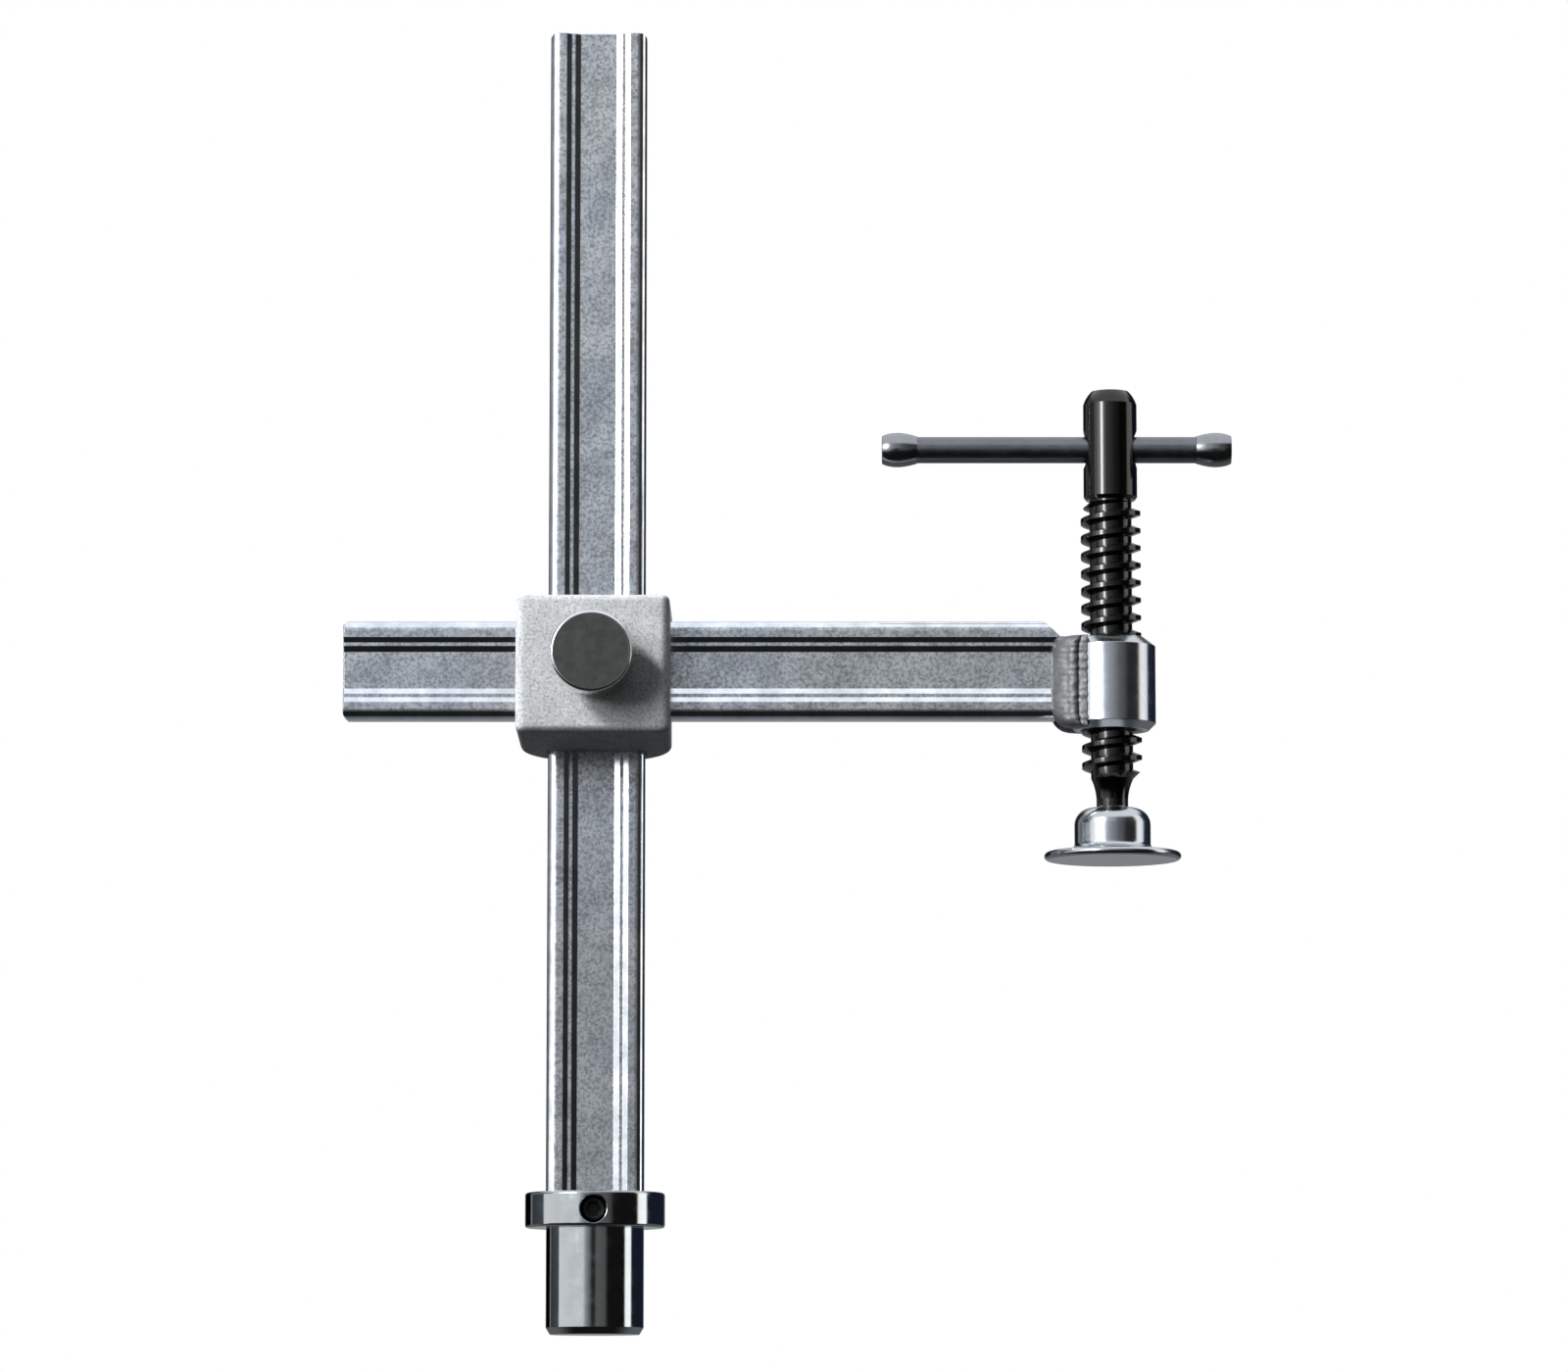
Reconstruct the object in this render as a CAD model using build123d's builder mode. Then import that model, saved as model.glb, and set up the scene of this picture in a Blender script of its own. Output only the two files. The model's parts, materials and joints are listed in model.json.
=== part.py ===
from build123d import *
import math
import os

# Variable table clamp: a screw clamp that plugs into a 28 mm hole of a welding table.
# A cross slider rides on a vertical rail and carries a horizontal arm with the spindle.
# Frame: millimetres, +Z up, origin on the pin's axis in the plane of the table top,
# +X from the pin towards the spindle, -Y towards the person turning the spindle.

os.makedirs("parts", exist_ok=True)

# ---- driving dimensions -------------------------------------------------------------

SLIDING_GAP = 0.2  # play around anything that slides
RUNNING_GAP = 0.05  # radial play of a turned part in its seat
PRESS_GAP = 0.01  # between parts that are pressed or welded together

# base: pin that fits the table hole, with a shoulder that rests on the table
PIN_RADIUS = 14.0
PIN_LENGTH = 30.3
PIN_TIP_CHAMFER = (1.2, 2.0)  # radial, axial
SHOULDER_RADIUS = 20.0
SHOULDER_HEIGHT = 10.0
SHOULDER_EDGE = 0.8
SET_SCREW_RADIUS = 3.4
SET_SCREW_LENGTH = 11.5
SET_SCREW_SOCKET = (2.3, 4.0)  # corner radius, depth
SET_SCREW_EDGE = 0.5
SET_SCREW_COUNTERSINK = 0.9

# rolled rail section, shared by the vertical rail and the arm
RAIL_WIDTH = 28.0
RAIL_THICKNESS = 11.0
RAIL_CORNER = 2.8
STEP_DEPTH = 0.8  # flange to ledge
WEB_DEPTH = 1.7  # flange to web
STEP_FROM_EDGE = (4.75, 6.15)  # slope between flange and ledge
WEB_FROM_EDGE = (7.2, 8.75)  # slope between ledge and web
RAIL_BLEND = 0.3
RAIL_END_CHAMFER = 0.25
RAIL_END_CORNER = 1.2  # the corners of a sawn end are ground off by this much

# vertical rail
RAIL_TOP = 347.4
RAIL_SEAT = 0.7
TENON_WIDTH = 16.0
TENON_DEPTH = 17.0
POCKET_CORNER = 1.5

# arm
ARM_Y = -28.0
ARM_Z = 156.5
ARM_START_X = -71.0
ARM_BEVEL = (4.7, 4.5)  # along the arm, down from its top edge
ARM_BEVEL_INSET = 3.5  # the bevel ends this far before the arm does

# cross slider
SLIDER_HALF_WIDTH = 21.7
SLIDER_FRONT_Y = -45.5
SLIDER_BACK_Y = 12.5
SLIDER_BACK_HALF_WIDTH = 14.0
SLIDER_TOP = 176.4
SLIDER_BOTTOM = 135.9
SLIDER_FRONT_BOTTOM = 137.6
SLIDER_FILLET = 1.8
SLIDER_CORNER = 2.6
SLOT_CORNER = 1.5

# lock screw with its brass tip, and the clamp bolt between the two rails
LOCK_Z = 158.6
LOCK_HEAD_LIFT = 0.3  # the head stands off the slider when snug
LOCK_HEAD_RADIUS = 11.5
LOCK_HEAD_LENGTH = 9.0
LOCK_NECK_RADIUS = 7.0
LOCK_NECK_LENGTH = 4.0
LOCK_SHANK_RADIUS = 5.0
LOCK_EDGE = 0.8
LOCK_SHANK_CHAMFER = 0.8
LOCK_TIP_RADIUS = 2.8
LOCK_TIP_CHAMFER = 0.4
LOCK_TIP_LENGTH = 3.0
LOCK_STUB_RADIUS = 1.6
LOCK_STUB_LENGTH = 5.0
LOCK_SNUG_GAP = 0.12
CLAMP_BOLT_RADIUS = 2.8
CLAMP_BOLT_CHAMFER = 0.5

# spindle
SPINDLE_X = 147.0
PITCH = 5.0
THREAD_RADIUS = 8.55
ROOT_RADIUS = 6.0
CREST_WIDTH = 1.3
ROOT_TOOTH_WIDTH = 3.3
THREAD_BOTTOM = 125.9
THREAD_TOP = 205.7
THREAD_CREST_Z = 127.0  # a crest passes the +X side at this height
RUNOUT_BOTTOM = 2.6  # the thread tapers off over this height at the neck
RUNOUT_TOP = (0.6, 3.0)  # and from and to these depths below the head
RUNOUT_MARGIN = 0.2  # the taper's wide end stands clear of the crests
HEAD_RADIUS = 7.65
HEAD_TOP = 237.0
HEAD_CROWN = (2.2, 3.8)  # radial, axial
HEAD_CROWN_MIDDLE = (0.85, 1.8)
HEAD_FOOT_CHAMFER = (0.7, 0.9)
NECK_RADIUS = 4.5
NECK_BOTTOM = 120.0
NECK_FLARE_MIDDLE = (0.35, 2.6)
CROSS_HOLE_Z = 220.3
CROSS_HOLE_RADIUS = 4.0
CROSS_HOLE_MOUTH = 5.6  # radius of the countersinks

# spindle nut and its welds to the arm
NUT_RADIUS = 12.5
NUT_BOTTOM = 139.6
NUT_TOP = 166.2
NUT_TOP_CHAMFER = (3.3, 2.6)  # radial, axial
NUT_BOTTOM_CHAMFER = (2.0, 2.0)
THREAD_GAP = 0.35
TAP_OVERLAP = 0.5  # the tap's core removes this much more than the drilled bore
TAP_MOUTH_GAP = 0.2
WELD_REACH = 6.0  # back along the arm from the nut
WELD_THROAT = 3.4  # proud of the arm's flange
WELD_CROWN_SHIFT = 1.2  # from the middle of the reach towards the nut
WELD_TOE_REACH = 4.2  # from the arm's end round the nut
WELD_TOE_THICKNESS = 0.1
WELD_CORNER = 5.5
WELD_END_INSET = 0.3  # the bead stops short of the nut's bottom

# tommy bar
BAR_RADIUS = 3.75
BAR_LENGTH = 99.6
BAR_OFFSET_X = -15.3  # middle of the bar from the spindle's axis
BAR_CHAMFER = 0.4
BAR_END_LENGTH = 10.0
BAR_END_BORE = 7.0
# ferrule's outline from its outer end: distance from that end, radius
BAR_END_OUTLINE = ((0, 3.95), (0.9, 4.35), (2.8, 4.8), (4.6, 4.9), (7.0, 4.65), (10.0, 3.9))

# ball joint and pressure plate
BALL_RADIUS = 7.0
BALL_Z = 112.6
LINER_THICKNESS = 0.9
LINER_GAP = 0.05
LINER_TOP_ANGLE = 54.0  # from straight up, at the ball's centre
LINER_SPLIT_ANGLE = 90.0
LINER_SPLIT_GAP = 0.5  # each half ends this many degrees from the split
LINER_BOTTOM_ANGLE = 140.0
JOURNAL_RADIUS = 3.5
JOURNAL_END_RADIUS = 3.1
JOURNAL_BOTTOM = BALL_Z - 5.6
NECK_SEAT = BALL_Z + 5.3
RING_Z = BALL_Z - 4.5
RING_THICKNESS = 0.8
RING_RADIUS = 5.0
GROOVE_RADIUS = 2.8
PLATE_RADIUS = 19.4
PLATE_BOTTOM = 102.7
PLATE_RIM = 2.3  # height of the disc's edge
PLATE_RIM_BULGE = 1.0
PLATE_RISE = 3.1  # height of the disc beside the hub
HUB_RADIUS = 10.8
HUB_TOP = 117.4
HUB_FOOT = (1.8, 1.9)  # radial, axial size of the blend between disc and hub
HUB_FOOT_MIDDLE = (0.5, 0.5)
HUB_SHOULDER = 4.6  # the hub is rolled in above this distance from its top
HUB_SHOULDER_MIDDLE = (1.15, 1.6)
HUB_LIP_RADIUS = 6.9

# ---- dimensions that follow from them -----------------------------------------------

HALF_THICKNESS = RAIL_THICKNESS / 2
WEB_HALF_THICKNESS = HALF_THICKNESS - WEB_DEPTH
RAIL_CORNER_CUT = RAIL_END_CORNER * math.sqrt(2)  # side of the square that cuts a corner
SHOULDER_FLOOR = RAIL_SEAT - SLIDING_GAP
GROOVE_BOTTOM = RING_Z - RUNNING_GAP
GROOVE_TOP = RING_Z + RING_THICKNESS + RUNNING_GAP
NUT_MID = (NUT_TOP + NUT_BOTTOM) / 2
NUT_HEIGHT = NUT_TOP - NUT_BOTTOM
ARM_END_X = SPINDLE_X - math.sqrt(NUT_RADIUS**2 - HALF_THICKNESS**2)
TAP_CORE = ROOT_RADIUS + THREAD_GAP
TAP_DRILL = TAP_CORE - TAP_OVERLAP
TAP_MOUTH = THREAD_RADIUS + THREAD_GAP + TAP_MOUTH_GAP
CAVITY_RADIUS = BALL_RADIUS + LINER_THICKNESS + 2 * LINER_GAP
LOCK_FACE_Y = SLIDER_FRONT_Y - LOCK_NECK_LENGTH - LOCK_HEAD_LENGTH
LOCK_TIP_END_Y = ARM_Y - WEB_HALF_THICKNESS - LOCK_SNUG_GAP
LOCK_SHANK_END_Y = LOCK_TIP_END_Y - LOCK_TIP_LENGTH
BAR_X = SPINDLE_X + BAR_OFFSET_X

# planes for turned parts: sketch x is the radius, sketch y runs along the turning axis
PIN_TURNING = Plane(origin=(0, 0, 0), x_dir=(1, 0, 0), z_dir=(0, -1, 0))
SPINDLE_TURNING = Plane(origin=(SPINDLE_X, ARM_Y, 0), x_dir=(1, 0, 0), z_dir=(0, -1, 0))
SPINDLE_AXIS = Axis((SPINDLE_X, ARM_Y, 0), (0, 0, 1))
BAR_TURNING = Plane(origin=(BAR_X, ARM_Y, CROSS_HOLE_Z), x_dir=(0, 0, 1), z_dir=(0, 1, 0))
BAR_AXIS = Axis((BAR_X, ARM_Y, CROSS_HOLE_Z), (1, 0, 0))
LOCK_TURNING = Plane(origin=(0, 0, LOCK_Z), x_dir=(1, 0, 0), z_dir=(0, 0, -1))
LOCK_AXIS = Axis((0, 0, LOCK_Z), (0, -1, 0))


def save(piece, label):
    """Labels a finished piece and writes it under the same name."""
    piece.part.label = label
    export_step(piece.part, f"parts/{label}.step")


def rail_section():
    """Rolled rail section, width along x and thickness along y, grooved on both faces."""
    edge = RAIL_WIDTH / 2
    with BuildSketch() as section:
        RectangleRounded(RAIL_WIDTH, RAIL_THICKNESS, RAIL_CORNER)
        for side in (1, -1):
            with BuildLine():
                Polyline(
                    (edge - STEP_FROM_EDGE[0], side * HALF_THICKNESS),
                    (edge - STEP_FROM_EDGE[1], side * (HALF_THICKNESS - STEP_DEPTH)),
                    (edge - WEB_FROM_EDGE[0], side * (HALF_THICKNESS - STEP_DEPTH)),
                    (edge - WEB_FROM_EDGE[1], side * WEB_HALF_THICKNESS),
                    (WEB_FROM_EDGE[1] - edge, side * WEB_HALF_THICKNESS),
                    (WEB_FROM_EDGE[0] - edge, side * (HALF_THICKNESS - STEP_DEPTH)),
                    (STEP_FROM_EDGE[1] - edge, side * (HALF_THICKNESS - STEP_DEPTH)),
                    (STEP_FROM_EDGE[0] - edge, side * HALF_THICKNESS),
                    close=True,
                )
            make_face(mode=Mode.SUBTRACT)
        steps = [v for v in section.vertices() if abs(v.X) < edge - STEP_FROM_EDGE[0] + 0.1]
        fillet(steps, RAIL_BLEND)
    return section.sketch


def helix_ridge(low, high, growth):
    """Right-hand thread tooth between two heights; growth widens it on every side."""
    foot = ROOT_RADIUS - 0.1
    half_foot = ROOT_TOOTH_WIDTH / 2 + growth
    half_crest = CREST_WIDTH / 2 + growth
    crest = THREAD_RADIUS + growth
    with BuildPart() as ridge:
        with BuildLine() as path:
            Helix(pitch=PITCH, height=high - low, radius=foot)
        with BuildSketch(Plane.XZ):
            with BuildLine():
                Polyline(
                    (foot, -half_foot),
                    (crest, -half_crest),
                    (crest, half_crest),
                    (foot, half_foot),
                    close=True,
                )
            make_face()
        sweep(path=path.line, is_frenet=True)
    turned = ridge.part.rotate(Axis.Z, 360.0 * (low - THREAD_CREST_Z) / PITCH)
    return turned.translate((SPINDLE_X, ARM_Y, low))


RAIL_SECTION = rail_section()

# ---- base pin -----------------------------------------------------------------------

with BuildPart() as base_pin:
    with BuildSketch(PIN_TURNING):
        with BuildLine():
            Polyline(
                (0, -PIN_LENGTH),
                (PIN_RADIUS - PIN_TIP_CHAMFER[0], -PIN_LENGTH),
                (PIN_RADIUS, -PIN_LENGTH + PIN_TIP_CHAMFER[1]),
                (PIN_RADIUS, 0),
                (SHOULDER_RADIUS, 0),
                (SHOULDER_RADIUS, SHOULDER_HEIGHT),
                (0, SHOULDER_HEIGHT),
                close=True,
            )
        make_face()
    revolve(axis=Axis.Z)
    shoulder_rims = base_pin.edges().filter_by(
        lambda e: e.geom_type == GeomType.CIRCLE and abs(e.radius - SHOULDER_RADIUS) < 0.01
    )
    fillet(shoulder_rims, SHOULDER_EDGE)
    # pocket for the full rail section, and a narrower one for its tenon
    with BuildSketch(Plane.XY.offset(SHOULDER_HEIGHT)):
        RectangleRounded(
            RAIL_WIDTH + 2 * SLIDING_GAP, RAIL_THICKNESS + 2 * SLIDING_GAP, POCKET_CORNER
        )
    extrude(amount=SHOULDER_FLOOR - SHOULDER_HEIGHT, mode=Mode.SUBTRACT)
    with BuildSketch(Plane.XY.offset(SHOULDER_FLOOR)):
        RectangleRounded(
            TENON_WIDTH + 2 * SLIDING_GAP, RAIL_THICKNESS + 2 * SLIDING_GAP, POCKET_CORNER
        )
    extrude(amount=-TENON_DEPTH - 2 * SLIDING_GAP, mode=Mode.SUBTRACT)
    # radial hole for the set screw, countersunk at its mouth
    with Locations(Plane(origin=(0, -SHOULDER_RADIUS, SHOULDER_HEIGHT / 2), z_dir=(0, -1, 0))):
        CounterSinkHole(
            SET_SCREW_RADIUS + RUNNING_GAP,
            SET_SCREW_RADIUS + SET_SCREW_COUNTERSINK,
            depth=SHOULDER_RADIUS - WEB_HALF_THICKNESS,
        )
save(base_pin, "base_pin")

with BuildPart() as set_screw:
    with BuildSketch(Plane.XZ.offset(WEB_HALF_THICKNESS + RUNNING_GAP)):
        with Locations((0, SHOULDER_HEIGHT / 2)):
            Circle(SET_SCREW_RADIUS)
    extrude(amount=SET_SCREW_LENGTH)
    chamfer(set_screw.edges().filter_by(GeomType.CIRCLE), SET_SCREW_EDGE)
    with BuildSketch(Plane(set_screw.faces().sort_by(Axis.Y)[0])):
        RegularPolygon(SET_SCREW_SOCKET[0], 6)
    extrude(amount=-SET_SCREW_SOCKET[1], mode=Mode.SUBTRACT)
save(set_screw, "base_set_screw")

# ---- vertical rail ------------------------------------------------------------------

with BuildPart() as vertical_rail:
    with BuildSketch(Plane.XY.offset(RAIL_SEAT - TENON_DEPTH)):
        add(RAIL_SECTION)
    extrude(amount=RAIL_TOP - RAIL_SEAT + TENON_DEPTH)
    # the flanges are milled away below the seat to leave the tenon
    with BuildSketch(Plane.XY.offset(RAIL_SEAT)):
        with Locations((RAIL_WIDTH / 2, 0), (-RAIL_WIDTH / 2, 0)):
            Rectangle(RAIL_WIDTH - TENON_WIDTH, 2 * RAIL_THICKNESS)
    extrude(amount=-2 * TENON_DEPTH, mode=Mode.SUBTRACT)
    chamfer(vertical_rail.faces().sort_by(Axis.Z)[-1].edges(), RAIL_END_CHAMFER)
    with BuildSketch(Plane.XZ):
        with Locations((RAIL_WIDTH / 2, RAIL_TOP), (-RAIL_WIDTH / 2, RAIL_TOP)):
            Rectangle(RAIL_CORNER_CUT, RAIL_CORNER_CUT, rotation=45)
    extrude(amount=RAIL_THICKNESS, both=True, mode=Mode.SUBTRACT)
save(vertical_rail, "vertical_rail")

# ---- cross slider -------------------------------------------------------------------

with BuildPart() as slider:
    with BuildSketch(Plane.XY.offset(SLIDER_BOTTOM)):
        with BuildLine():
            Polyline(
                (-SLIDER_HALF_WIDTH, -HALF_THICKNESS),
                (-SLIDER_HALF_WIDTH, SLIDER_FRONT_Y),
                (SLIDER_HALF_WIDTH, SLIDER_FRONT_Y),
                (SLIDER_HALF_WIDTH, -HALF_THICKNESS),
            )
            TangentArc(
                (SLIDER_HALF_WIDTH, -HALF_THICKNESS),
                (SLIDER_BACK_HALF_WIDTH, SLIDER_BACK_Y),
                tangent=(0, 1),
            )
            Line(
                (SLIDER_BACK_HALF_WIDTH, SLIDER_BACK_Y),
                (-SLIDER_BACK_HALF_WIDTH, SLIDER_BACK_Y),
            )
            TangentArc(
                (-SLIDER_HALF_WIDTH, -HALF_THICKNESS),
                (-SLIDER_BACK_HALF_WIDTH, SLIDER_BACK_Y),
                tangent=(0, 1),
            )
        make_face()
    extrude(amount=SLIDER_TOP - SLIDER_BOTTOM)
    # the underside drafts up towards the front face
    with BuildSketch(Plane.YZ):
        with BuildLine():
            Polyline(
                (SLIDER_FRONT_Y - 1, SLIDER_BOTTOM - 1),
                (SLIDER_BACK_Y, SLIDER_BOTTOM - 1),
                (SLIDER_BACK_Y, SLIDER_BOTTOM),
                (SLIDER_FRONT_Y - 1, SLIDER_FRONT_BOTTOM),
                close=True,
            )
        make_face()
    extrude(amount=2 * SLIDER_HALF_WIDTH, both=True, mode=Mode.SUBTRACT)
    fillet(slider.edges().filter_by(Axis.Z), SLIDER_CORNER)
    fillet(slider.faces().sort_by(Axis.Z)[0].edges(), SLIDER_FILLET)
    fillet(slider.faces().sort_by(Axis.Z)[-1].edges(), SLIDER_FILLET)
    # slot for the vertical rail
    with BuildSketch(Plane.XY.offset(SLIDER_TOP)):
        RectangleRounded(
            RAIL_WIDTH + 2 * SLIDING_GAP, RAIL_THICKNESS + 2 * SLIDING_GAP, SLOT_CORNER
        )
    extrude(amount=SLIDER_BOTTOM - SLIDER_TOP, mode=Mode.SUBTRACT)
    # slot for the arm
    with BuildSketch(Plane.YZ):
        with Locations((ARM_Y, ARM_Z)):
            RectangleRounded(
                RAIL_THICKNESS + 2 * SLIDING_GAP, RAIL_WIDTH + 2 * SLIDING_GAP, SLOT_CORNER
            )
    extrude(amount=SLIDER_HALF_WIDTH, both=True, mode=Mode.SUBTRACT)
    # lock screw hole in the front wall, clamp bolt bore in the wall between the slots
    with BuildSketch(Plane.XZ.offset(-ARM_Y)):
        with Locations((0, LOCK_Z)):
            Circle(LOCK_SHANK_RADIUS + RUNNING_GAP)
    extrude(amount=ARM_Y - SLIDER_FRONT_Y, mode=Mode.SUBTRACT)
    with BuildSketch(Plane.XZ):
        with Locations((0, LOCK_Z)):
            Circle(CLAMP_BOLT_RADIUS + RUNNING_GAP)
    extrude(amount=-ARM_Y, mode=Mode.SUBTRACT)
save(slider, "cross_slider")

with BuildPart() as lock_screw:
    with BuildSketch(LOCK_TURNING):
        with BuildLine():
            Polyline(
                (0, -LOCK_SHANK_END_Y),
                (LOCK_SHANK_RADIUS - LOCK_SHANK_CHAMFER, -LOCK_SHANK_END_Y),
                (LOCK_SHANK_RADIUS, -LOCK_SHANK_END_Y + LOCK_SHANK_CHAMFER),
                (LOCK_SHANK_RADIUS, -SLIDER_FRONT_Y + LOCK_HEAD_LIFT),
                (LOCK_NECK_RADIUS, -SLIDER_FRONT_Y + LOCK_HEAD_LIFT),
                (LOCK_NECK_RADIUS, -SLIDER_FRONT_Y + LOCK_NECK_LENGTH),
                (LOCK_HEAD_RADIUS, -SLIDER_FRONT_Y + LOCK_NECK_LENGTH),
                (LOCK_HEAD_RADIUS, -LOCK_FACE_Y),
                (0, -LOCK_FACE_Y),
                close=True,
            )
        make_face()
    revolve(axis=LOCK_AXIS)
    head_rims = lock_screw.edges().filter_by(
        lambda e: e.geom_type == GeomType.CIRCLE and abs(e.radius - LOCK_HEAD_RADIUS) < 0.01
    )
    fillet(head_rims, LOCK_EDGE)
    # blind bore that holds the brass tip's stub
    with BuildSketch(Plane.XZ.offset(-LOCK_SHANK_END_Y)):
        with Locations((0, LOCK_Z)):
            Circle(LOCK_STUB_RADIUS + RUNNING_GAP)
    extrude(amount=LOCK_STUB_LENGTH + SLIDING_GAP, mode=Mode.SUBTRACT)
save(lock_screw, "lock_screw")

with BuildPart() as lock_tip:
    with BuildSketch(Plane.XZ.offset(-LOCK_TIP_END_Y)):
        with Locations((0, LOCK_Z)):
            Circle(LOCK_TIP_RADIUS)
    extrude(amount=LOCK_TIP_LENGTH - RUNNING_GAP)
    chamfer(lock_tip.edges().filter_by(GeomType.CIRCLE), LOCK_TIP_CHAMFER)
    with BuildSketch(Plane.XZ.offset(-LOCK_SHANK_END_Y - RUNNING_GAP)):
        with Locations((0, LOCK_Z)):
            Circle(LOCK_STUB_RADIUS)
    extrude(amount=LOCK_STUB_LENGTH)
save(lock_tip, "lock_screw_tip")

with BuildPart() as clamp_bolt:
    with BuildSketch(Plane.XZ.offset(WEB_HALF_THICKNESS + LOCK_SNUG_GAP)):
        with Locations((0, LOCK_Z)):
            Circle(CLAMP_BOLT_RADIUS)
    extrude(amount=-ARM_Y - 2 * (WEB_HALF_THICKNESS + LOCK_SNUG_GAP))
    chamfer(clamp_bolt.edges().filter_by(GeomType.CIRCLE), CLAMP_BOLT_CHAMFER)
save(clamp_bolt, "clamp_bolt")

# ---- arm, nut and welds -------------------------------------------------------------

with BuildPart() as arm:
    with BuildSketch(Plane(origin=(ARM_START_X, ARM_Y, ARM_Z), x_dir=(0, 0, 1), z_dir=(1, 0, 0))):
        add(RAIL_SECTION)
    extrude(amount=ARM_END_X - ARM_START_X)
    chamfer(arm.faces().sort_by(Axis.X)[0].edges(), RAIL_END_CHAMFER)
    with BuildSketch(Plane.XZ.offset(-ARM_Y)):
        with Locations(
            (ARM_START_X, ARM_Z + RAIL_WIDTH / 2), (ARM_START_X, ARM_Z - RAIL_WIDTH / 2)
        ):
            Rectangle(RAIL_CORNER_CUT, RAIL_CORNER_CUT, rotation=45)
    extrude(amount=RAIL_THICKNESS, both=True, mode=Mode.SUBTRACT)
    # the end is coped to sit against the nut
    with BuildSketch(Plane.XY.offset(ARM_Z - RAIL_WIDTH)):
        with Locations((SPINDLE_X, ARM_Y)):
            Circle(NUT_RADIUS + PRESS_GAP)
    extrude(amount=2 * RAIL_WIDTH, mode=Mode.SUBTRACT)
    # bevel at the top corner beside the nut
    arm_top = ARM_Z + RAIL_WIDTH / 2
    bevel_end_x = ARM_END_X - ARM_BEVEL_INSET
    with BuildSketch(Plane.XZ.offset(-ARM_Y)):
        with BuildLine():
            Polyline(
                (bevel_end_x - ARM_BEVEL[0], arm_top),
                (bevel_end_x, arm_top - ARM_BEVEL[1]),
                (ARM_END_X + 2, arm_top - ARM_BEVEL[1]),
                (ARM_END_X + 2, arm_top + 2),
                (bevel_end_x - ARM_BEVEL[0], arm_top + 2),
                close=True,
            )
        make_face()
    extrude(amount=RAIL_THICKNESS, both=True, mode=Mode.SUBTRACT)
save(arm, "arm_rail")

# cutting shape for the nut's thread: the spindle's thread grown by the gap
with BuildPart() as tap:
    with BuildSketch(Plane.XY.offset(NUT_BOTTOM - 2 * PITCH)):
        with Locations((SPINDLE_X, ARM_Y)):
            Circle(TAP_CORE)
    extrude(amount=NUT_HEIGHT + 4 * PITCH)
    add(helix_ridge(NUT_BOTTOM - PITCH, NUT_TOP + PITCH, THREAD_GAP))

with BuildPart() as nut:
    with BuildSketch(SPINDLE_TURNING):
        with BuildLine():
            Polyline(
                (TAP_DRILL, NUT_BOTTOM + TAP_MOUTH - TAP_DRILL),
                (TAP_MOUTH, NUT_BOTTOM),
                (NUT_RADIUS - NUT_BOTTOM_CHAMFER[0], NUT_BOTTOM),
                (NUT_RADIUS, NUT_BOTTOM + NUT_BOTTOM_CHAMFER[1]),
                (NUT_RADIUS, NUT_TOP - NUT_TOP_CHAMFER[1]),
                (NUT_RADIUS - NUT_TOP_CHAMFER[0], NUT_TOP),
                (TAP_MOUTH, NUT_TOP),
                (TAP_DRILL, NUT_TOP - TAP_MOUTH + TAP_DRILL),
                close=True,
            )
        make_face()
    revolve(axis=SPINDLE_AXIS)
    add(tap.part, mode=Mode.SUBTRACT)
save(nut, "spindle_nut")


def weld_bead(side):
    """Convex fillet weld between the arm's flange and the nut; side -1 is the front."""
    face_y = ARM_Y + side * HALF_THICKNESS
    weld_root = NUT_RADIUS + WELD_TOE_THICKNESS
    crown_x = ARM_END_X - WELD_REACH / 2 + WELD_CROWN_SHIFT
    toe_x = ARM_END_X + WELD_TOE_REACH
    toe_y = ARM_Y + side * math.sqrt(weld_root**2 - (SPINDLE_X - toe_x) ** 2)
    with BuildPart() as bead:
        with BuildSketch(Plane.XY.offset(NUT_BOTTOM + WELD_END_INSET)):
            with BuildLine():
                crown = ThreePointArc(
                    (ARM_END_X - WELD_REACH, face_y),
                    (crown_x, face_y + side * WELD_THROAT),
                    (toe_x, toe_y),
                )
                Polyline(crown @ 1, (SPINDLE_X, ARM_Y), (ARM_END_X, ARM_Y), crown @ 0)
            make_face()
        extrude(amount=NUT_HEIGHT - WELD_END_INSET)
        with BuildSketch(Plane.XZ.offset(-ARM_Y)):
            with Locations((ARM_END_X + WELD_REACH, NUT_MID)):
                RectangleRounded(4 * WELD_REACH, NUT_HEIGHT - 2 * WELD_END_INSET, WELD_CORNER)
        extrude(amount=RAIL_WIDTH, both=True, mode=Mode.INTERSECT)
        # the bead stops at the surfaces of the arm and of the nut
        with BuildSketch(Plane.XY.offset(NUT_BOTTOM - 1)):
            with Locations((SPINDLE_X, ARM_Y)):
                Circle(NUT_RADIUS + PRESS_GAP)
        extrude(amount=NUT_HEIGHT + 2, mode=Mode.SUBTRACT)
        with BuildSketch(Plane.XY.offset(NUT_BOTTOM - 1)):
            with Locations((ARM_END_X, ARM_Y)):
                Rectangle(4 * WELD_REACH, RAIL_THICKNESS + 2 * PRESS_GAP)
        extrude(amount=NUT_HEIGHT + 2, mode=Mode.SUBTRACT)
    return bead.part


with BuildPart() as welds:
    add(weld_bead(-1))
    add(weld_bead(1))
save(welds, "nut_welds")

# ---- spindle ------------------------------------------------------------------------

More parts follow.
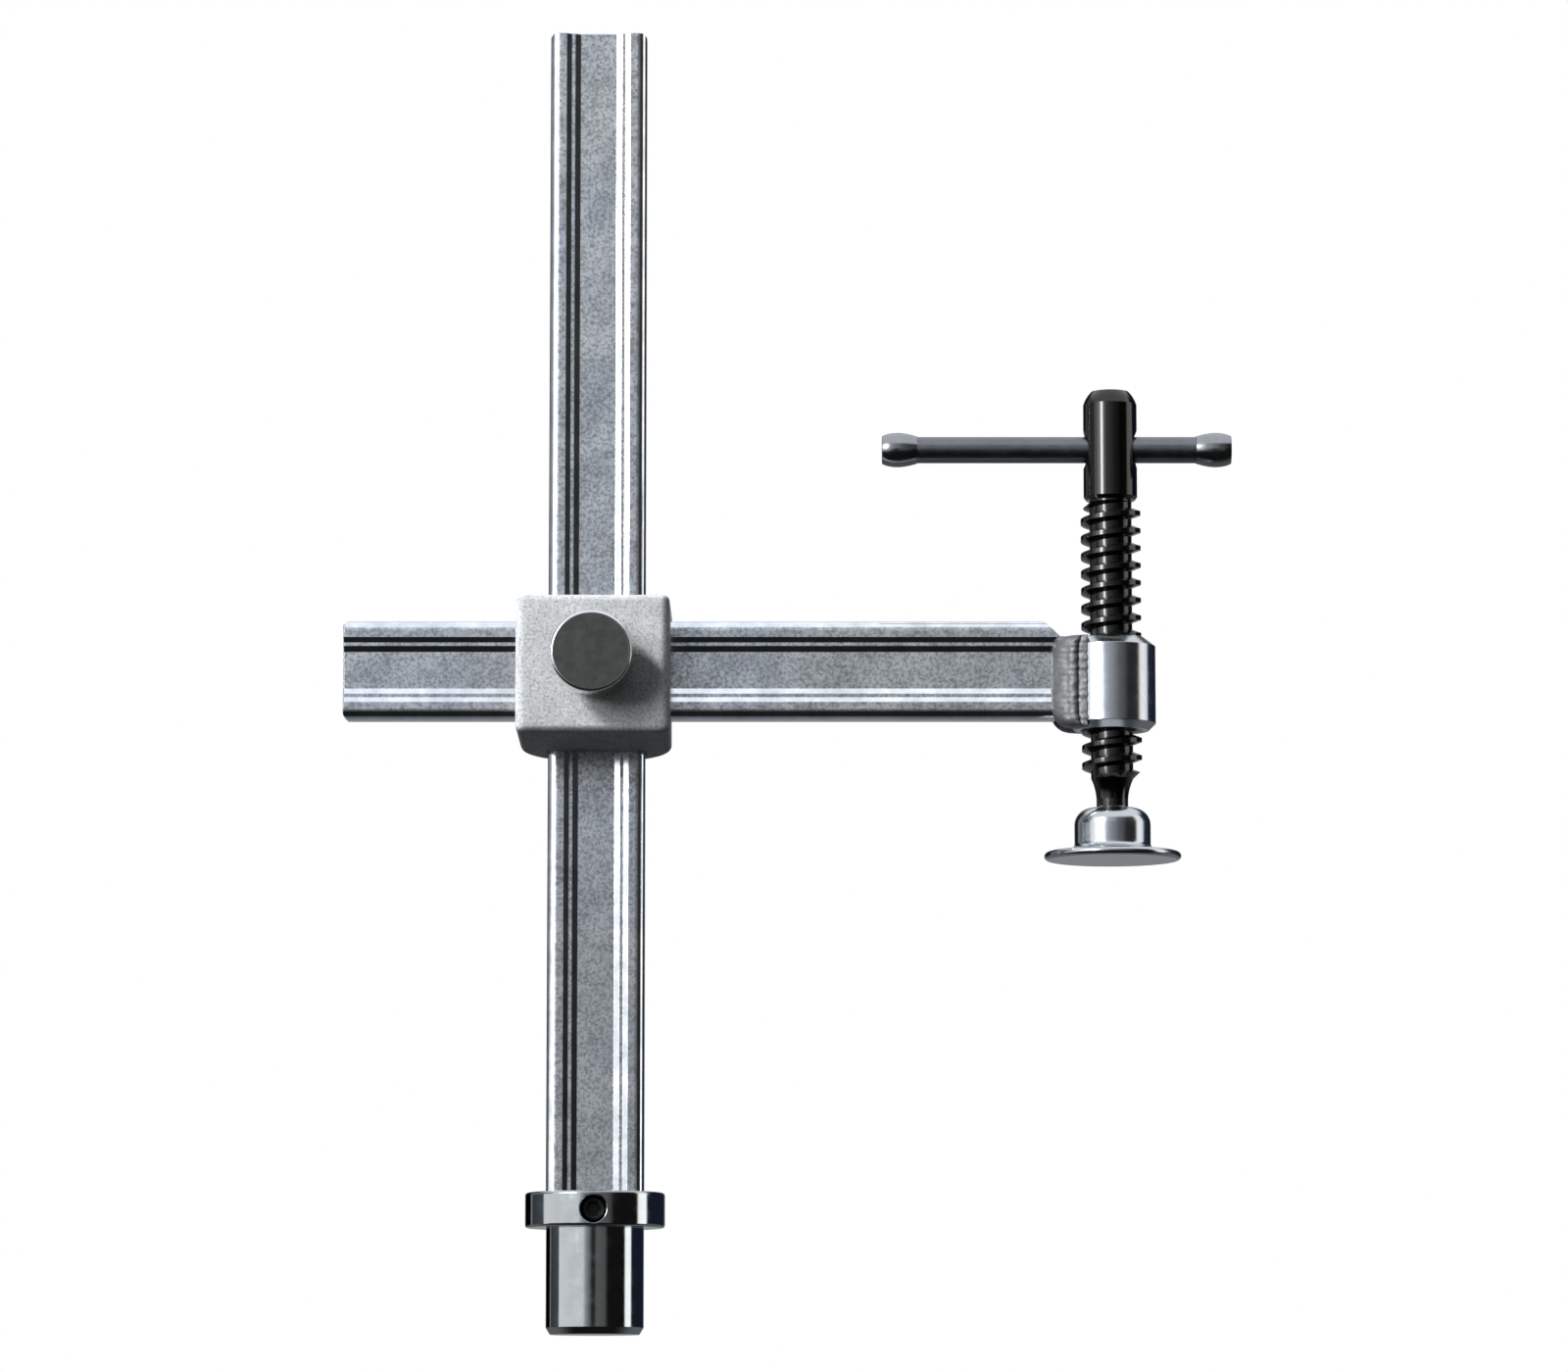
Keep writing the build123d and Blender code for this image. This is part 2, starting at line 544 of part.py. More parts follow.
with BuildPart() as spindle:
    add(helix_ridge(THREAD_BOTTOM - 1, THREAD_TOP + 1, 0))
    # cone at both ends, so that the thread runs out into the neck and the head
    with BuildSketch(SPINDLE_TURNING):
        with BuildLine():
            Polyline(
                (0, THREAD_BOTTOM),
                (ROOT_RADIUS, THREAD_BOTTOM),
                (THREAD_RADIUS + RUNOUT_MARGIN, THREAD_BOTTOM + RUNOUT_BOTTOM),
                (THREAD_RADIUS + RUNOUT_MARGIN, THREAD_TOP - RUNOUT_TOP[1]),
                (ROOT_RADIUS, THREAD_TOP - RUNOUT_TOP[0]),
                (0, THREAD_TOP - RUNOUT_TOP[0]),
                close=True,
            )
        make_face()
    revolve(axis=SPINDLE_AXIS, mode=Mode.INTERSECT)
    with BuildSketch(SPINDLE_TURNING):
        with BuildLine():
            Polyline(
                (ROOT_RADIUS, THREAD_BOTTOM),
                (ROOT_RADIUS, THREAD_TOP),
                (HEAD_RADIUS - HEAD_FOOT_CHAMFER[0], THREAD_TOP),
                (HEAD_RADIUS, THREAD_TOP + HEAD_FOOT_CHAMFER[1]),
                (HEAD_RADIUS, HEAD_TOP - HEAD_CROWN[1]),
            )
            ThreePointArc(
                (HEAD_RADIUS, HEAD_TOP - HEAD_CROWN[1]),
                (HEAD_RADIUS - HEAD_CROWN_MIDDLE[0], HEAD_TOP - HEAD_CROWN_MIDDLE[1]),
                (HEAD_RADIUS - HEAD_CROWN[0], HEAD_TOP),
            )
            Polyline(
                (HEAD_RADIUS - HEAD_CROWN[0], HEAD_TOP),
                (0, HEAD_TOP),
                (0, JOURNAL_BOTTOM),
                (JOURNAL_END_RADIUS, JOURNAL_BOTTOM),
                (JOURNAL_END_RADIUS, GROOVE_BOTTOM),
                (GROOVE_RADIUS, GROOVE_BOTTOM),
                (GROOVE_RADIUS, GROOVE_TOP),
                (JOURNAL_RADIUS, GROOVE_TOP),
                (JOURNAL_RADIUS, NECK_SEAT),
                (NECK_RADIUS, NECK_SEAT),
                (NECK_RADIUS, NECK_BOTTOM),
            )
            ThreePointArc(
                (NECK_RADIUS, NECK_BOTTOM),
                (NECK_RADIUS + NECK_FLARE_MIDDLE[0], NECK_BOTTOM + NECK_FLARE_MIDDLE[1]),
                (ROOT_RADIUS, THREAD_BOTTOM),
            )
        make_face()
    revolve(axis=SPINDLE_AXIS)
    # cross hole for the tommy bar, countersunk at both mouths
    for side in (1, -1):
        mouth = (SPINDLE_X + side * HEAD_RADIUS, ARM_Y, CROSS_HOLE_Z)
        with Locations(Plane(origin=mouth, z_dir=(side, 0, 0))):
            CounterSinkHole(CROSS_HOLE_RADIUS, CROSS_HOLE_MOUTH, depth=HEAD_RADIUS)
save(spindle, "spindle")

# ---- tommy bar ----------------------------------------------------------------------

ROD_HALF_LENGTH = BAR_LENGTH / 2 - BAR_END_LENGTH + BAR_END_BORE

with BuildPart() as bar_rod:
    with BuildSketch(Plane(origin=(BAR_X, ARM_Y, CROSS_HOLE_Z), z_dir=(1, 0, 0))):
        Circle(BAR_RADIUS)
    extrude(amount=ROD_HALF_LENGTH, both=True)
    chamfer(bar_rod.edges().filter_by(GeomType.CIRCLE), BAR_CHAMFER)
save(bar_rod, "tommy_bar_rod")


def bar_end(side):
    """Barrel-shaped ferrule with a blind bore; side -1 is the left end, 1 the right."""
    inner = BAR_LENGTH / 2 - BAR_END_LENGTH
    outer = BAR_LENGTH / 2
    outline = [(radius, side * (outer - distance)) for distance, radius in BAR_END_OUTLINE]
    bore = Plane(origin=(BAR_X + side * inner, ARM_Y, CROSS_HOLE_Z), z_dir=(side, 0, 0))
    with BuildPart() as ferrule:
        with BuildSketch(BAR_TURNING):
            with BuildLine():
                Spline(outline)
                Polyline(outline[-1], (0, side * inner), (0, side * outer), outline[0])
            make_face()
        revolve(axis=BAR_AXIS)
        with BuildSketch(bore):
            Circle(BAR_RADIUS + PRESS_GAP)
        extrude(amount=BAR_END_BORE + RUNNING_GAP, mode=Mode.SUBTRACT)
    return ferrule


bar_end_left = bar_end(-1)
save(bar_end_left, "bar_end_left")
bar_end_right = bar_end(1)
save(bar_end_right, "bar_end_right")

# ---- ball joint and pressure plate --------------------------------------------------


def ball_point(radius, angle):
    """Point on a circle about the ball's centre; angle is measured from straight up."""
    turn = math.radians(angle)
    return (radius * math.sin(turn), BALL_Z + radius * math.cos(turn))


with BuildPart() as ball:
    with BuildSketch(SPINDLE_TURNING):
        top_half = NECK_SEAT - BALL_Z
        bottom_half = BALL_Z - GROOVE_TOP
        top_radius = math.sqrt(BALL_RADIUS**2 - top_half**2)
        bottom_radius = math.sqrt(BALL_RADIUS**2 - bottom_half**2)
        with BuildLine():
            ThreePointArc(
                (top_radius, BALL_Z + top_half),
                (BALL_RADIUS, BALL_Z),
                (bottom_radius, BALL_Z - bottom_half),
            )
            Polyline(
                (bottom_radius, BALL_Z - bottom_half),
                (JOURNAL_RADIUS + RUNNING_GAP, BALL_Z - bottom_half),
                (JOURNAL_RADIUS + RUNNING_GAP, BALL_Z + top_half),
                (top_radius, BALL_Z + top_half),
            )
        make_face()
    revolve(axis=SPINDLE_AXIS)
save(ball, "swivel_ball")

with BuildPart() as ring:
    with BuildSketch(Plane.XY.offset(RING_Z)):
        with Locations((SPINDLE_X, ARM_Y)):
            Circle(RING_RADIUS)
            Circle(GROOVE_RADIUS + RUNNING_GAP, mode=Mode.SUBTRACT)
        with Locations((SPINDLE_X + RING_RADIUS / 2, ARM_Y)):
            Rectangle(RING_RADIUS, GROOVE_RADIUS, mode=Mode.SUBTRACT)
    extrude(amount=RING_THICKNESS)
save(ring, "ball_retaining_ring")


def liner_half(start_angle, end_angle):
    """Spherical shell between the ball and the pressure plate's cup."""
    inner = BALL_RADIUS + LINER_GAP
    outer = inner + LINER_THICKNESS
    middle = (start_angle + end_angle) / 2
    with BuildPart() as shell:
        with BuildSketch(SPINDLE_TURNING):
            with BuildLine():
                ThreePointArc(
                    ball_point(inner, start_angle),
                    ball_point(inner, middle),
                    ball_point(inner, end_angle),
                )
                Line(ball_point(inner, end_angle), ball_point(outer, end_angle))
                ThreePointArc(
                    ball_point(outer, end_angle),
                    ball_point(outer, middle),
                    ball_point(outer, start_angle),
                )
                Line(ball_point(outer, start_angle), ball_point(inner, start_angle))
            make_face()
        revolve(axis=SPINDLE_AXIS)
    return shell


upper_liner = liner_half(LINER_TOP_ANGLE, LINER_SPLIT_ANGLE - LINER_SPLIT_GAP)
save(upper_liner, "ball_liner_upper")
lower_liner = liner_half(LINER_SPLIT_ANGLE + LINER_SPLIT_GAP, LINER_BOTTOM_ANGLE)
save(lower_liner, "ball_liner_lower")

with BuildPart() as plate:
    lip_height = HUB_TOP - BALL_Z
    lip_radius = math.sqrt(CAVITY_RADIUS**2 - lip_height**2)
    rim_foot = (PLATE_RADIUS - PLATE_RIM_BULGE, PLATE_BOTTOM)
    rim_middle = (PLATE_RADIUS, PLATE_BOTTOM + PLATE_RIM / 2)
    rim_top = (PLATE_RADIUS - PLATE_RIM_BULGE, PLATE_BOTTOM + PLATE_RIM)
    disc_end = (HUB_RADIUS + HUB_FOOT[0], PLATE_BOTTOM + PLATE_RISE)
    foot_middle = (HUB_RADIUS + HUB_FOOT_MIDDLE[0], disc_end[1] + HUB_FOOT_MIDDLE[1])
    hub_foot = (HUB_RADIUS, disc_end[1] + HUB_FOOT[1])
    shoulder = (HUB_RADIUS, HUB_TOP - HUB_SHOULDER)
    shoulder_middle = (HUB_RADIUS - HUB_SHOULDER_MIDDLE[0], HUB_TOP - HUB_SHOULDER_MIDDLE[1])
    with BuildSketch(SPINDLE_TURNING):
        with BuildLine():
            Polyline((0, BALL_Z - CAVITY_RADIUS), (0, PLATE_BOTTOM), rim_foot)
            ThreePointArc(rim_foot, rim_middle, rim_top)
            Line(rim_top, disc_end)
            ThreePointArc(disc_end, foot_middle, hub_foot)
            Line(hub_foot, shoulder)
            ThreePointArc(shoulder, shoulder_middle, (HUB_LIP_RADIUS, HUB_TOP))
            Line((HUB_LIP_RADIUS, HUB_TOP), (lip_radius, HUB_TOP))
            ThreePointArc(
                (lip_radius, HUB_TOP),
                (CAVITY_RADIUS, BALL_Z),
                (0, BALL_Z - CAVITY_RADIUS),
            )
        make_face()
    revolve(axis=SPINDLE_AXIS)
save(plate, "pressure_plate")
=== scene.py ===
import json
import math

import bmesh
import bpy
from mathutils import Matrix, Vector, noise


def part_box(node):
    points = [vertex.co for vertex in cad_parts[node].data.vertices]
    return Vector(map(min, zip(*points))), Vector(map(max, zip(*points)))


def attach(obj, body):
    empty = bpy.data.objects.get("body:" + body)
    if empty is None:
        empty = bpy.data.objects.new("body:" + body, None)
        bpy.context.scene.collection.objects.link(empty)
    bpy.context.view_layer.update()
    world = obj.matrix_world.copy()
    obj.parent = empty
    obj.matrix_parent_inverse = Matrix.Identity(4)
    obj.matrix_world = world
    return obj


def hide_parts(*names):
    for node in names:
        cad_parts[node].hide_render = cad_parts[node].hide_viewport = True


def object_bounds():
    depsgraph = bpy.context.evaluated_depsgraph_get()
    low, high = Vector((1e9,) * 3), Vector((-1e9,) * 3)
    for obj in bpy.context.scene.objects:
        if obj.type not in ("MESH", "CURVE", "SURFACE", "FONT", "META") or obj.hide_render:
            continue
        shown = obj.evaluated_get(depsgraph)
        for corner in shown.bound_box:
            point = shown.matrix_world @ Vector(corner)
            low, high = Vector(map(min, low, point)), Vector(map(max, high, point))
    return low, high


# Looks of the table clamp: materials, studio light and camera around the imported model.
# Units are metres, in the frame of the CAD: +Z up, the viewer stands on the -Y side.

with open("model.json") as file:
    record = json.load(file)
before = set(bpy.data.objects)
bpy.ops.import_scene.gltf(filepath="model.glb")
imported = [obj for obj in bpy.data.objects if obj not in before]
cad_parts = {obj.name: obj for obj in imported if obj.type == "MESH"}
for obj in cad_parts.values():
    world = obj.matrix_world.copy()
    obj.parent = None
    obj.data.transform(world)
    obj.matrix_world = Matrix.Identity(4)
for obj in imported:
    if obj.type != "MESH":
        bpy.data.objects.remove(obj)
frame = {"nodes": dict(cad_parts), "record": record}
CAD_LOW, CAD_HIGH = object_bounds()

MM = 0.001

# ---- camera -------------------------------------------------------------------------

CAMERA_DISTANCE = 1.8
CAMERA_TILT = 7.2  # degrees that the camera looks up
CAMERA_LENS = 143.2  # millimetres, for a sensor of the width below
SENSOR_WIDTH = 36.0
AIM_SHIFT = (-1.3 * MM, -2.55 * MM)  # from the middle of the object, in x and z

# ---- small helpers for shader nodes ---------------------------------------------------


class Nodes:
    """Short calls that add shader nodes to one node tree and link their inputs."""

    def __init__(self, tree):
        self.tree = tree
        tree.nodes.clear()

    def add(self, kind, inputs=None, **settings):
        node = self.tree.nodes.new(kind)
        for name, value in settings.items():
            setattr(node, name, value)
        for name, value in (inputs or {}).items():
            self.set(node.inputs[name], value)
        return node

    def set(self, socket, value):
        if isinstance(value, bpy.types.NodeSocket):
            self.tree.links.new(value, socket)
        else:
            socket.default_value = value

    def math(self, operation, *values, clamp=False):
        node = self.tree.nodes.new("ShaderNodeMath")
        node.operation = operation
        node.use_clamp = clamp
        for socket, value in zip(node.inputs, values):
            self.set(socket, value)
        return node.outputs[0]

    def remap(self, value, low, high, to_low=0.0, to_high=1.0, smooth=True):
        node = self.tree.nodes.new("ShaderNodeMapRange")
        node.interpolation_type = "SMOOTHSTEP" if smooth else "LINEAR"
        for socket, item in zip(node.inputs, (value, low, high, to_low, to_high)):
            self.set(socket, item)
        return node.outputs[0]

    def mix(self, factor, first, second, blend="MIX"):
        node = self.tree.nodes.new("ShaderNodeMix")
        node.data_type = "RGBA"
        node.blend_type = blend
        self.set(node.inputs[0], factor)
        self.set(node.inputs[6], colour(first))
        self.set(node.inputs[7], colour(second))
        return node.outputs[2]

    def vector(self, operation, first, second=None, scale=None):
        node = self.tree.nodes.new("ShaderNodeVectorMath")
        node.operation = operation
        self.set(node.inputs[0], first)
        if second is not None:
            self.set(node.inputs[1], second)
        if scale is not None:
            self.set(node.inputs[3], scale)
        return node.outputs[1] if operation in ("LENGTH", "DOT_PRODUCT") else node.outputs[0]

    def noise(self, scale, detail=2.0, roughness=0.5, stretch=None):
        """Noise in object space; scale is features per millimetre."""
        vector = self.add("ShaderNodeTexCoord").outputs["Object"]
        if stretch is not None:
            vector = self.add("ShaderNodeMapping", {"Vector": vector, "Scale": stretch}).outputs[0]
        inputs = {"Vector": vector, "Scale": scale / MM, "Detail": detail, "Roughness": roughness}
        return self.add("ShaderNodeTexNoise", inputs).outputs[0]

    def ramp(self, factor, stops):
        """Colour ramp; stops are (position, grey value or colour)."""
        node = self.tree.nodes.new("ShaderNodeValToRGB")
        node.color_ramp.interpolation = "LINEAR"
        elements = node.color_ramp.elements
        elements[0].position, elements[1].position = stops[0][0], stops[-1][0]
        elements[0].color, elements[1].color = colour(stops[0][1]), colour(stops[-1][1])
        for position, value in stops[1:-1]:
            elements.new(position).color = colour(value)
        self.set(node.inputs[0], factor)
        return node.outputs[0]


def colour(value):
    """Grey value, RGB triple or socket as something a colour input takes."""
    if isinstance(value, (int, float)):
        return (value, value, value, 1.0)
    if isinstance(value, tuple) and len(value) == 3:
        return (*value, 1.0)
    return value


def scaled(value, factor):
    """Grey value or RGB triple times a factor."""
    if isinstance(value, tuple):
        return tuple(part * factor for part in value)
    return value * factor


# ---- studio: world, light, floor ------------------------------------------------------

DEGREE = math.pi / 180

# brightness of the room round the object, by direction: degrees from the viewer's side,
# positive to the right; the room near the floor differs from the room at table height
REAR = (0.30, 0.31, 0.33)
SHADE_LEFT = (0.05, 0.06, 0.072)
SHADE_RIGHT = (0.014, 0.019, 0.034)
ROOM_LOW = (
    (-180, REAR),
    (-166, REAR),
    (-160, 0.0),
    (-131, 0.0),
    (-129, 0.35),
    (-126, 0.35),
    (-124, SHADE_LEFT),
    (-93, (0.10, 0.12, 0.14)),
    (-91, (1.15, 1.14, 1.12)),
    (-60, (1.02, 1.05, 1.08)),
    (-26, (0.98, 1.03, 1.06)),
    (-20, (0.45, 0.49, 0.52)),
    (-5, 0.03),
    (1, 0.04),
    (6, 0.17),
    (24, 0.14),
    (32, 0.01),
    (75, 0.01),
    (79, (1.9, 1.85, 1.75)),
    (94, (1.85, 1.92, 2.0)),
    (98, SHADE_RIGHT),
    (160, SHADE_RIGHT),
    (166, REAR),
    (180, REAR),
)
ROOM_HIGH = (
    (-180, REAR),
    (-166, REAR),
    (-160, 0.0),
    (-131, 0.02),
    (-129, 0.40),
    (-124, 0.38),
    (-120, (0.20, 0.22, 0.25)),
    (-76, (0.32, 0.35, 0.40)),
    (-72, (1.30, 1.32, 1.34)),
    (-27, (1.15, 1.22, 1.30)),
    (-19, (0.62, 0.67, 0.73)),
    (-4, (0.47, 0.50, 0.54)),
    (4, (0.36, 0.385, 0.41)),
    (16, (0.17, 0.18, 0.19)),
    (34, (0.11, 0.11, 0.11)),
    (40, 0.035),
    (72, 0.03),
    (76, (1.25, 1.15, 0.95)),
    (82, 1.35),
    (103, (1.2, 1.27, 1.35)),
    (107, SHADE_RIGHT),
    (160, SHADE_RIGHT),
    (166, REAR),
    (180, REAR),
)
RING_PEAK = 2.0  # brightest value in the rings above
RING_CHANGE = (3.2, 5.6)  # elevations over which the low ring gives way to the high one
LAMP_AZIMUTH = (-58, -27)  # the window in front of the softbox, seen from table height up
LAMP_CORE = (-43, -35)
LAMP_RISE = 3  # degrees over which the window's sides fade
LAMP_BRIGHTNESS = 1.5
LAMP_CORE_BRIGHTNESS = 16.0
LAMP_BOTTOM = (6.2, 7.0)  # elevations over which the window's lower edge comes up
LAMP_TOP = (36, 26)  # and over which its upper edge fades out
OVERHEAD = (32, 46)  # elevations over which the rings give way to the ceiling
OVERHEAD_COLOUR = (1.02, 1.07, 1.13)
BELOW = (-1, -18)  # and to the dim room under the object
BELOW_FRONT = 0.012
BELOW_REAR = (0.17, 0.18, 0.19)
BELOW_REAR_FROM = (-0.25, 0.45)  # y of the direction, from the viewer's side to the rear
DIFFUSE_SHARE = 0.22  # matte surfaces take most of their light from the key lamp

# lamps: offset from the cross slider, diameter in metres, power in watts
KEY = (Vector((-1.0, -0.55, 0.98)), 0.30, 36.0)
REAR_FILL = (Vector((0.6, 1.2, 0.7)), 0.8, 10.0)

FLOOR_HALF = 4.0
FLOOR_COLOUR = (0.86, 0.87, 0.88)
FLOOR_FADE = (0.25, 1.1)  # distances from the origin over which it fades to the backdrop


def build_world():
    world = bpy.data.worlds.new("studio")
    world.use_nodes = True
    bpy.context.scene.world = world
    n = Nodes(world.node_tree)
    direction = n.add("ShaderNodeTexCoord").outputs["Generated"]
    parts = n.add("ShaderNodeSeparateXYZ", {"Vector": direction})
    x, y, z = parts.outputs
    azimuth = n.math("ARCTAN2", x, n.math("MULTIPLY", y, -1.0))
    turn = n.remap(azimuth, -math.pi, math.pi, smooth=False)
    elevation = n.math("ARCSINE", z)

    def ring(stops):
        dimmed = [((a + 180) / 360, scaled(value, 1 / RING_PEAK)) for a, value in stops]
        return n.ramp(turn, dimmed)

    def between(span):
        return n.remap(elevation, span[0] * DEGREE, span[1] * DEGREE)

    def window(span, brightness):
        left = n.remap(azimuth, (span[0] - LAMP_RISE) * DEGREE, span[0] * DEGREE)
        right = n.remap(azimuth, (span[1] + LAMP_RISE) * DEGREE, span[1] * DEGREE)
        lit = n.math("MULTIPLY", n.math("MULTIPLY", left, right), lamp_height)
        return n.math("MULTIPLY", lit, brightness)

    room_ring = n.mix(between(RING_CHANGE), ring(ROOM_LOW), ring(ROOM_HIGH))
    room_ring = n.vector("SCALE", room_ring, scale=RING_PEAK)
    lamp_height = n.math("MULTIPLY", between(LAMP_BOTTOM), between(LAMP_TOP))
    glow = window(LAMP_AZIMUTH, LAMP_BRIGHTNESS)
    core = window(LAMP_CORE, LAMP_CORE_BRIGHTNESS)
    room_ring = n.vector("ADD", room_ring, n.math("ADD", glow, core))
    upper = n.mix(between(OVERHEAD), room_ring, OVERHEAD_COLOUR)
    under = n.mix(n.remap(y, *BELOW_REAR_FROM), BELOW_FRONT, BELOW_REAR)
    seen = n.mix(between(BELOW), upper, under)
    is_diffuse = n.add("ShaderNodeLightPath").outputs["Is Diffuse Ray"]
    seen = n.mix(is_diffuse, seen, n.vector("SCALE", seen, scale=DIFFUSE_SHARE))
    backdrop = n.add("ShaderNodeBackground", {"Color": colour(1.0)})
    room = n.add("ShaderNodeBackground", {"Color": seen})
    is_camera = n.add("ShaderNodeLightPath").outputs["Is Camera Ray"]
    both = n.add("ShaderNodeMixShader", {0: is_camera, 1: room.outputs[0], 2: backdrop.outputs[0]})
    n.add("ShaderNodeOutputWorld", {"Surface": both.outputs[0]})


def area_light(name, place, aim, size, power):
    """Disk lamp that lights matte surfaces only; the world gives the reflections."""
    data = bpy.data.lights.new(name, "AREA")
    data.shape = "DISK"
    data.size = size
    data.energy = power
    light = bpy.data.objects.new(name, data)
    bpy.context.scene.collection.objects.link(light)
    light.location = place
    light.rotation_euler = (aim - place).to_track_quat("-Z", "Y").to_euler()
    light.visible_glossy = False
    light.visible_camera = False


def build_lights():
    slider_low, slider_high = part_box("cross_slider")
    aim = (slider_low + slider_high) / 2
    for name, (offset, size, power) in (("key", KEY), ("rear_fill", REAR_FILL)):
        area_light(name, aim + offset, aim, size, power)


def build_floor():
    """Pale floor, seen by the camera only; further out it fades to the white backdrop."""
    mesh = bpy.data.meshes.new("floor")
    sides = ((-1, -1), (1, -1), (1, 1), (-1, 1))
    corners = [(x * FLOOR_HALF, y * FLOOR_HALF, CAD_LOW.z) for x, y in sides]
    mesh.from_pydata(corners, [], [(0, 1, 2, 3)])
    floor = bpy.data.objects.new("floor", mesh)
    bpy.context.scene.collection.objects.link(floor)
    material = bpy.data.materials.new("floor")
    material.use_nodes = True
    n = Nodes(material.node_tree)
    geometry = n.add("ShaderNodeNewGeometry")
    fade = n.remap(n.vector("LENGTH", geometry.outputs["Position"]), *FLOOR_FADE)
    pale = n.add("ShaderNodeBsdfDiffuse", {"Color": colour(FLOOR_COLOUR)})
    backdrop = n.add("ShaderNodeEmission", {"Color": colour(1.0)})
    shown = n.add("ShaderNodeMixShader", {0: fade, 1: pale.outputs[0], 2: backdrop.outputs[0]})
    hidden = n.add("ShaderNodeBsdfTransparent")
    is_camera = n.add("ShaderNodeLightPath").outputs["Is Camera Ray"]
    front = n.math("SUBTRACT", 1.0, geometry.outputs["Backfacing"])
    visible = n.math("MULTIPLY", is_camera, front)
    surface = n.add("ShaderNodeMixShader", {0: visible, 1: hidden.outputs[0], 2: shown.outputs[0]})
    n.add("ShaderNodeOutputMaterial", {"Surface": surface.outputs[0]})
    mesh.materials.append(material)


def build_camera():
    middle = (CAD_LOW + CAD_HIGH) / 2
    aim = Vector((middle.x + AIM_SHIFT[0], 0, middle.z + AIM_SHIFT[1]))
    tilt = CAMERA_TILT * DEGREE
    back = Vector((0, -math.cos(tilt), -math.sin(tilt)))
    data = bpy.data.cameras.new("camera")
    data.sensor_width = SENSOR_WIDTH
    data.lens = CAMERA_LENS
    camera = bpy.data.objects.new("camera", data)
    bpy.context.scene.collection.objects.link(camera)
    camera.location = aim + back * CAMERA_DISTANCE
    camera.rotation_euler = (-back).to_track_quat("-Z", "Y").to_euler()
    bpy.context.scene.camera = camera


# ---- materials ------------------------------------------------------------------------

SMUDGE_DARKENING = 0.9
KNOB_RIM = 0.8 * MM  # bright ring round the knob's face
KNOB_RING_PITCH = 0.25 * MM  # turning marks on the face


def principled(n, base, metallic, roughness, normal=None, **more):
    inputs = {"Base Color": colour(base), "Metallic": metallic, "Roughness": roughness}
    inputs.update({name.replace("_", " "): value for name, value in more.items()})
    if normal is not None:
        inputs["Normal"] = normal
    shader = n.add("ShaderNodeBsdfPrincipled", inputs)
    n.add("ShaderNodeOutputMaterial", {"Surface": shader.outputs[0]})


def new_material(name):
    material = bpy.data.materials.new(name)
    material.use_nodes = True
    return material, Nodes(material.node_tree)


def soft_edge(n, radius):
    """Normal rounded over the piece's edges, and a mask that is 1 on those edges."""
    rounded = n.add("ShaderNodeBevel", {"Radius": radius}, samples=4).outputs[0]
    flat = n.add("ShaderNodeNewGeometry").outputs["Normal"]
    edge = n.remap(n.vector("DOT_PRODUCT", rounded, flat), 0.99, 0.86)
    return rounded, edge


def bump(n, height, distance, strength=1.0, normal=None):
    inputs = {"Height": height, "Distance": distance, "Strength": strength}
    if normal is not None:
        inputs["Normal"] = normal
    return n.add("ShaderNodeBump", inputs).outputs[0]


def zinc_rail():
    """Rolled steel, zinc plated: crisp rolled slopes, mottled grain on the flat faces."""
    material, n = new_material("zinc_rail")
    rounded, edge = soft_edge(n, 0.12 * MM)
    grain = n.noise(1.0, 3.0, 0.65)
    blotch = n.noise(0.14, 3.0, 0.6)
    flow = n.noise(0.02, 1.0)
    facing = n.add("ShaderNodeNewGeometry").outputs["Normal"]
    side = n.math("ABSOLUTE", n.add("ShaderNodeSeparateXYZ", {"Vector": facing}).outputs["Y"])
    flat = n.remap(side, 0.93, 0.99)
    tint = n.ramp(blotch, [(0.35, (0.68, 0.70, 0.72)), (0.65, (0.94, 0.96, 0.975))])
    tint = n.mix(n.remap(flow, 0.4, 0.6), tint, n.mix(1.0, tint, (0.96, 0.98, 1.03), "MULTIPLY"))
    speck = n.ramp(grain, [(0.36, 0.50), (0.46, 0.74), (0.53, 0.92), (0.60, 1.12)])
    speck = n.mix(flat, 0.97, speck)
    base = n.mix(1.0, tint, speck, "MULTIPLY")
    base = n.mix(n.math("MULTIPLY", edge, 0.4), base, (0.80, 0.82, 0.85))
    roughness = n.math("ADD", 0.13, n.math("MULTIPLY", flat, n.remap(grain, 0.3, 0.7, 0.22, 0.14)))
    normal = bump(n, grain, 0.012 * MM, n.remap(flat, 0.0, 1.0, 0.05, 0.6), rounded)
    principled(n, base, 1.0, roughness, normal)
    return material


def blasted_casting():
    """Light grey bead-blasted casting."""
    material, n = new_material("blasted_casting")
    rounded, edge = soft_edge(n, 0.8 * MM)
    pits = n.noise(1.3, 3.0, 0.7)
    blotch = n.noise(0.16, 3.0, 0.6)
    tint = n.ramp(blotch, [(0.35, (0.57, 0.585, 0.60)), (0.65, (0.69, 0.705, 0.725))])
    speck = n.ramp(pits, [(0.36, 0.50), (0.47, 0.80), (0.64, 1.0)])
    base = n.mix(1.0, tint, speck, "MULTIPLY")
    base = n.mix(n.math("MULTIPLY", edge, 0.35), base, (0.85, 0.86, 0.87))
    normal = bump(n, pits, 0.10 * MM, 0.8, rounded)
    principled(n, base, 0.0, 0.6, normal, Specular_IOR_Level=0.3)
    return material


